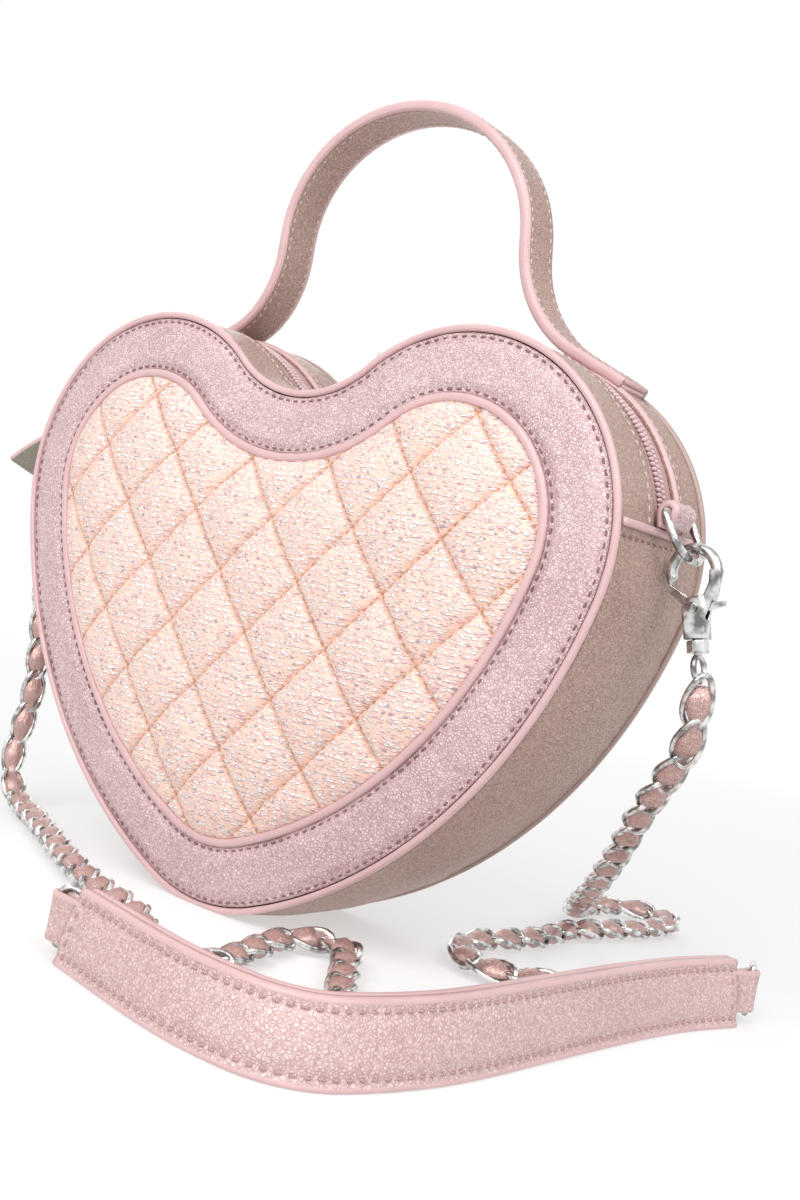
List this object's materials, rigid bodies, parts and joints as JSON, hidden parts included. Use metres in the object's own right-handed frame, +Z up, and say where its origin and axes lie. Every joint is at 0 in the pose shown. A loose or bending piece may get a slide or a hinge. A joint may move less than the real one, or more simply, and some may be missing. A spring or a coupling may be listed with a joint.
{
  "type": "heart shaped top handle purse with a detachable chain strap",
  "caption": "Heart shaped quilted-front purse that stands on its tip, with an arched top handle, a zip over the lobes and a clip-on chain strap with a shoulder pad.",
  "frame": {"origin": "middle of the flat where the tip of the heart meets the table", "axes": "+X across the heart to the right seen from the front, +Y from the quilted front to the back, +Z up from the tip to the handle"},
  "size_m": [0.2739, 0.2678, 0.2549],
  "materials": {
    "rose_leather": "pearly metallic rose leather with a pebble grain",
    "pink_edge": "rolled leather edge with smooth pink edge paint",
    "tweed": "peach tweed with silver, white and pink flecks, quilted",
    "wadding": "white wadding",
    "board": "matt stiffening board",
    "lining": "plain woven lining",
    "zip_tape": "woven zip tape",
    "zip_teeth": "rose coil teeth",
    "tail_leather": "taupe leather",
    "silver_metal": "polished silver plating",
    "chain": "silver curb links with a rose leather strip woven through"
  },
  "bodies": {
    "root": {"front_border": "rose_leather", "front_border_trim": "pink_edge", "front_quilted_panel": "tweed", "front_wadding": "wadding", "front_edge_trim": "pink_edge", "front_board": "board", "back_panel": "rose_leather", "back_edge_trim": "pink_edge", "back_board": "board", "zip_gusset_front": "rose_leather", "zip_gusset_back": "rose_leather", "lower_gusset": "rose_leather", "seam_trim_left": "pink_edge", "seam_trim_right": "pink_edge", "zip_tape_front": "zip_tape", "zip_tape_back": "zip_tape", "zip_teeth_front": "zip_teeth", "zip_teeth_back": "zip_teeth", "zip_tail_tab": "tail_leather", "lining": "lining", "handle_foot_left": "rose_leather", "handle_foot_right": "rose_leather", "d_ring_tab_left": "rose_leather", "d_ring_tab_right": "rose_leather", "hook_swivel_left": "silver_metal", "hook_swivel_right": "silver_metal", "chain_left": "chain", "chain_right": "chain", "pad_front_leather": "rose_leather", "pad_foam": "wadding", "pad_back_leather": "rose_leather", "pad_tab_left": "rose_leather", "pad_tab_right": "rose_leather", "pad_ring_left": "silver_metal", "pad_ring_right": "silver_metal"},
    "handle": {"handle_outer_leather": "rose_leather", "handle_lining_leather": "rose_leather"},
    "slider": {"zip_slider": "silver_metal"},
    "pull": {"zip_pull": "silver_metal"},
    "ring_left": {"d_ring_left": "silver_metal"},
    "hook_left": {"hook_body_left": "silver_metal", "gate_rivet_left": "silver_metal", "gate_spring_left": "silver_metal"},
    "gate_left": {"hook_gate_left": "silver_metal"},
    "ring_right": {"d_ring_right": "silver_metal"},
    "hook_right": {"hook_body_right": "silver_metal", "gate_rivet_right": "silver_metal", "gate_spring_right": "silver_metal"},
    "gate_right": {"hook_gate_right": "silver_metal"}
  },
  "joints": [
    {"name": "handle_tilt", "type": "hinge", "parent": "root", "child": "handle", "pos_m": [0, 0.0155, 0.18419], "axis": [1, 0, 0], "range_deg": [-20, 20], "stiffness_Nm_per_rad": 0.05},
    {"name": "zip_travel", "type": "hinge", "parent": "root", "child": "slider", "pos_m": [0, 0.001, 0.19306], "axis": [0, 1, 0], "range_deg": [-10, 53]},
    {"name": "pull_swing", "type": "hinge", "parent": "slider", "child": "pull", "pos_m": [0.01311, 0.001, 0.15996], "axis": [0, 1, 0], "range_deg": [-80, 80]},
    {"name": "ring_swing_left", "type": "hinge", "parent": "root", "child": "ring_left", "pos_m": [-0.11623, 0.001, 0.1356], "axis": [0, 1, 0], "range_deg": [-5, 5]},
    {"name": "hook_turn_left", "type": "hinge", "parent": "root", "child": "hook_left", "pos_m": [-0.12952, 0.001, 0.10137], "axis": [0.2588, 0, 0.9659], "range_deg": [-20, 20]},
    {"name": "gate_open_left", "type": "hinge", "parent": "hook_left", "child": "gate_left", "pos_m": [-0.12654, 0.001, 0.11248], "axis": [0, -1, 0], "range_deg": [0, 25], "stiffness_Nm_per_rad": 0.002, "springref_deg": -11.46},
    {"name": "ring_swing_right", "type": "hinge", "parent": "root", "child": "ring_right", "pos_m": [0.11623, 0.001, 0.1356], "axis": [0, 1, 0], "range_deg": [-5, 5]},
    {"name": "hook_turn_right", "type": "hinge", "parent": "root", "child": "hook_right", "pos_m": [0.12952, 0.001, 0.10137], "axis": [-0.2588, 0, 0.9659], "range_deg": [-20, 20]},
    {"name": "gate_open_right", "type": "hinge", "parent": "hook_right", "child": "gate_right", "pos_m": [0.12654, 0.001, 0.11248], "axis": [0, 1, 0], "range_deg": [0, 25], "stiffness_Nm_per_rad": 0.002, "springref_deg": -11.46}
  ]
}
